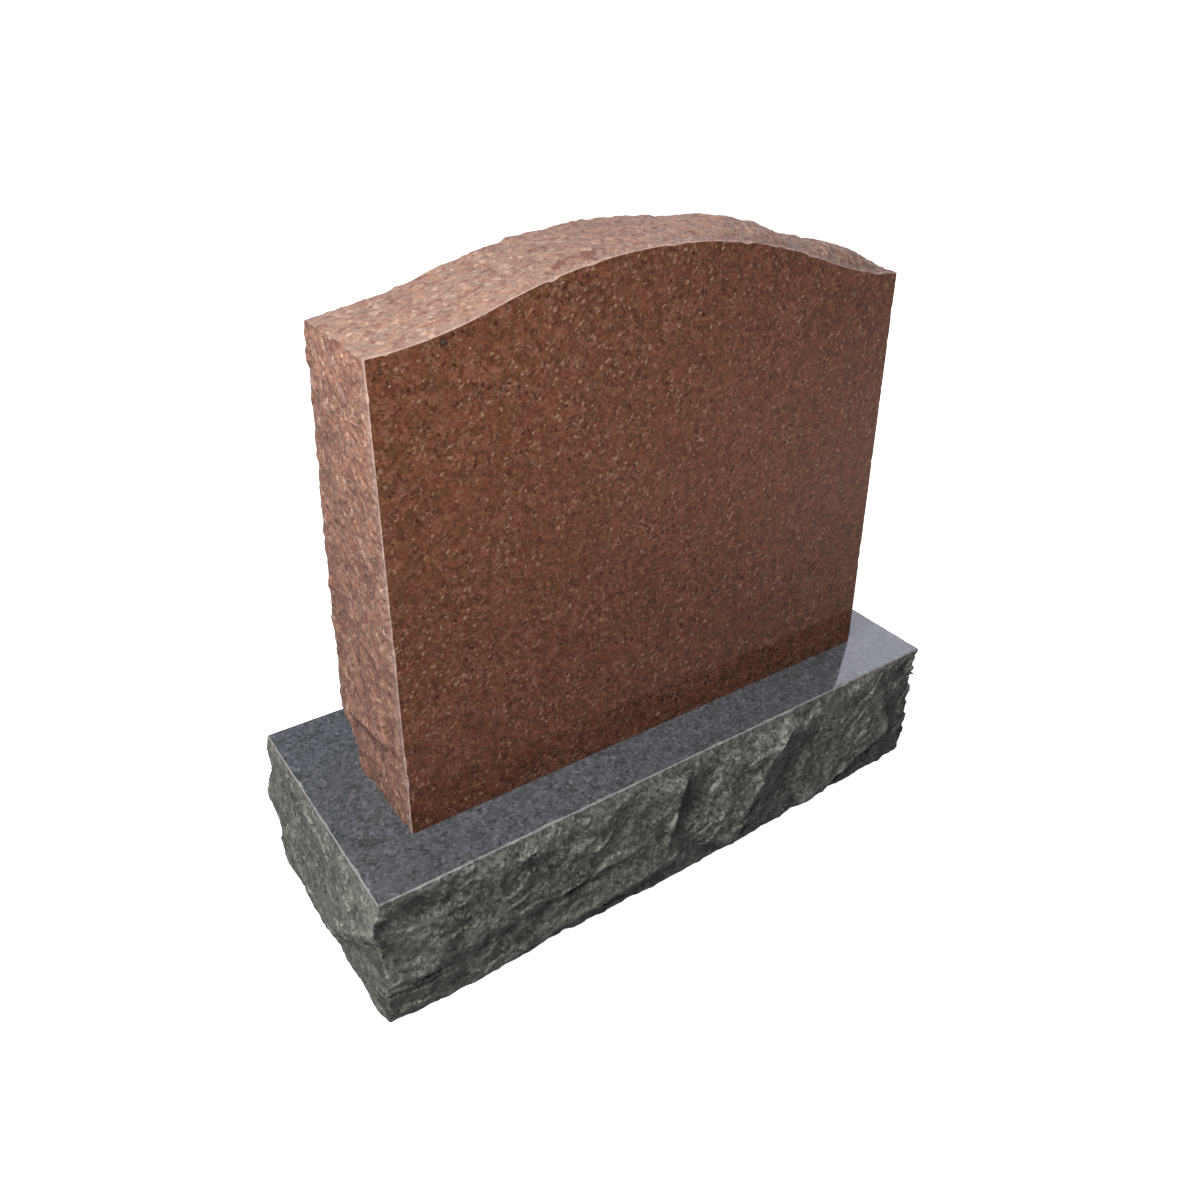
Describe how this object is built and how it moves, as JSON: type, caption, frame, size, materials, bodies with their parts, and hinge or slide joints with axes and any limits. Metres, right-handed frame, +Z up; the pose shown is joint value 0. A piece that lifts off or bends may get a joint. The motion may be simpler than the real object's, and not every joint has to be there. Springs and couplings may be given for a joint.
{
  "type": "headstone",
  "caption": "Upright headstone: a polished tablet with a serpentine top and broken edges, leaning back slightly, on a rock-pitched base with a polished top.",
  "frame": {"origin": "middle of the base's underside", "axes": "+Z up; +X along the length of the base, to the right of someone facing the polished front; the front faces -Y"},
  "size_m": [0.7466, 0.2949, 0.6706],
  "materials": {
    "red_granite": "polished front, sawn back, broken sides and top",
    "dark_granite": "polished top, broken sides, sawn underside"
  },
  "bodies": {
    "root": {"tablet": "red_granite", "base": "dark_granite"}
  },
  "joints": []
}
